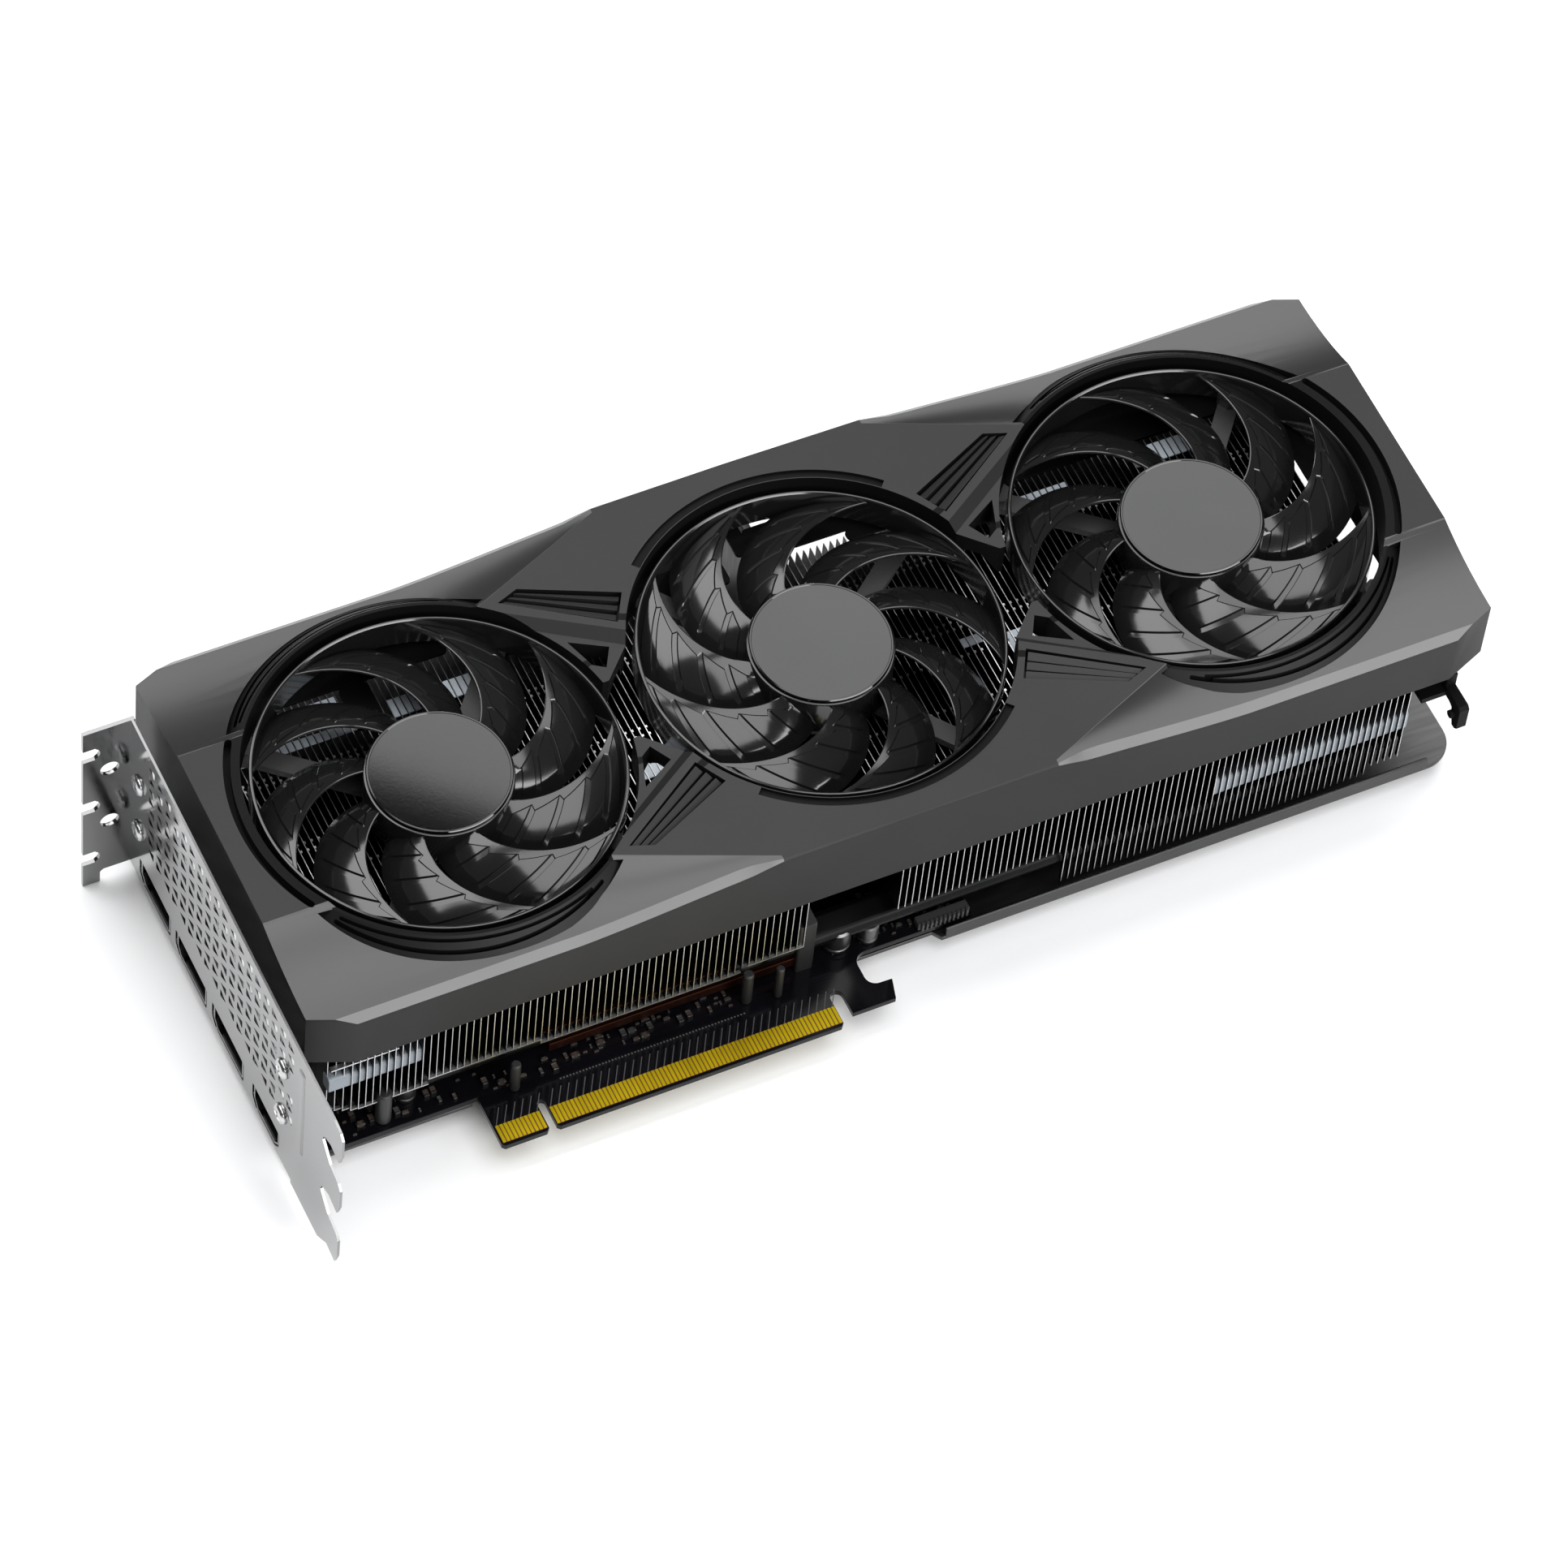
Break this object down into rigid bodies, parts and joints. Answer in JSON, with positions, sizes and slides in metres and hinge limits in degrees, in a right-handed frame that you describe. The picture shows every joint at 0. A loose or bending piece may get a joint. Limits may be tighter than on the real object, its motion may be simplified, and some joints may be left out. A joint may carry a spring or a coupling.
{
  "type": "graphics card",
  "caption": "Thick long graphics card: axial fans in an angular shroud over fin stacks, heat pipes and a circuit board, with a vented slot bracket and an edge connector.",
  "frame": {"origin": "middle of the long contact edge's tip, at mid-thickness of the circuit board", "axes": "+X along the card away from the slot bracket, +Y from the contact edge towards the opposite long edge, +Z from the circuit board up through the fans"},
  "size_m": [0.3101, 0.1313, 0.0642],
  "materials": {
    "shroud_plastic": "fine-grained matte",
    "fan_plastic": "semi-gloss",
    "cap_metal": "satin",
    "steel": "polished",
    "aluminium": "satin",
    "nickel": "bright plated",
    "copper": "satin",
    "board": "glossy solder mask",
    "gold": "polished",
    "chip": "matte",
    "silicon": "polished",
    "ferrite": "matte",
    "dark_metal": "satin",
    "connector_plastic": "matte"
  },
  "bodies": {
    "card": {"shroud": "shroud_plastic", "fan_1_frame": "fan_plastic", "fan_1_bearing": "copper", "fan_1_stator": "copper", "fan_2_frame": "fan_plastic", "fan_2_bearing": "copper", "fan_2_stator": "copper", "fan_3_frame": "fan_plastic", "fan_3_bearing": "copper", "fan_3_stator": "copper", "fin_stack_left": "aluminium", "fin_stack_middle": "aluminium", "fin_stack_right": "aluminium", "heat_pipe_1": "nickel", "heat_pipe_2": "nickel", "heat_pipe_3": "nickel", "heat_pipe_4": "nickel", "heat_pipe_5": "nickel", "heat_pipe_6": "nickel", "cold_plate": "nickel", "circuit_board": "board", "contacts_long": "gold", "contacts_short": "gold", "gpu_package": "board", "gpu_die": "silicon", "memory_chip_1": "chip", "memory_chip_2": "chip", "memory_chip_3": "chip", "memory_chip_4": "chip", "memory_chip_5": "chip", "memory_chip_6": "chip", "choke_1": "ferrite", "choke_2": "ferrite", "choke_3": "ferrite", "choke_4": "ferrite", "power_connector": "connector_plastic", "io_bracket": "steel", "video_port_1": "steel", "video_port_2": "steel", "video_port_3": "steel", "video_port_4": "steel", "bracket_screw_1": "steel", "bracket_screw_2": "steel", "bracket_screw_3": "steel", "bracket_screw_4": "steel", "backplate": "dark_metal", "tail_support": "dark_metal"},
    "fan_1": {"fan_1_rotor": "fan_plastic", "fan_1_cap": "cap_metal", "fan_1_shaft": "steel", "fan_1_magnet": "ferrite"},
    "fan_2": {"fan_2_rotor": "fan_plastic", "fan_2_cap": "cap_metal", "fan_2_shaft": "steel", "fan_2_magnet": "ferrite"},
    "fan_3": {"fan_3_rotor": "fan_plastic", "fan_3_cap": "cap_metal", "fan_3_shaft": "steel", "fan_3_magnet": "ferrite"}
  },
  "joints": [
    {"name": "fan_1_spin", "type": "hinge", "parent": "card", "child": "fan_1", "pos_m": [-0.0376, 0.0661, 0.047], "axis": [0, 0, 1], "continuous": true},
    {"name": "fan_2_spin", "type": "hinge", "parent": "card", "child": "fan_2", "pos_m": [0.0565, 0.0661, 0.047], "axis": [0, 0, 1], "continuous": true},
    {"name": "fan_3_spin", "type": "hinge", "parent": "card", "child": "fan_3", "pos_m": [0.1506, 0.0661, 0.047], "axis": [0, 0, 1], "continuous": true}
  ]
}
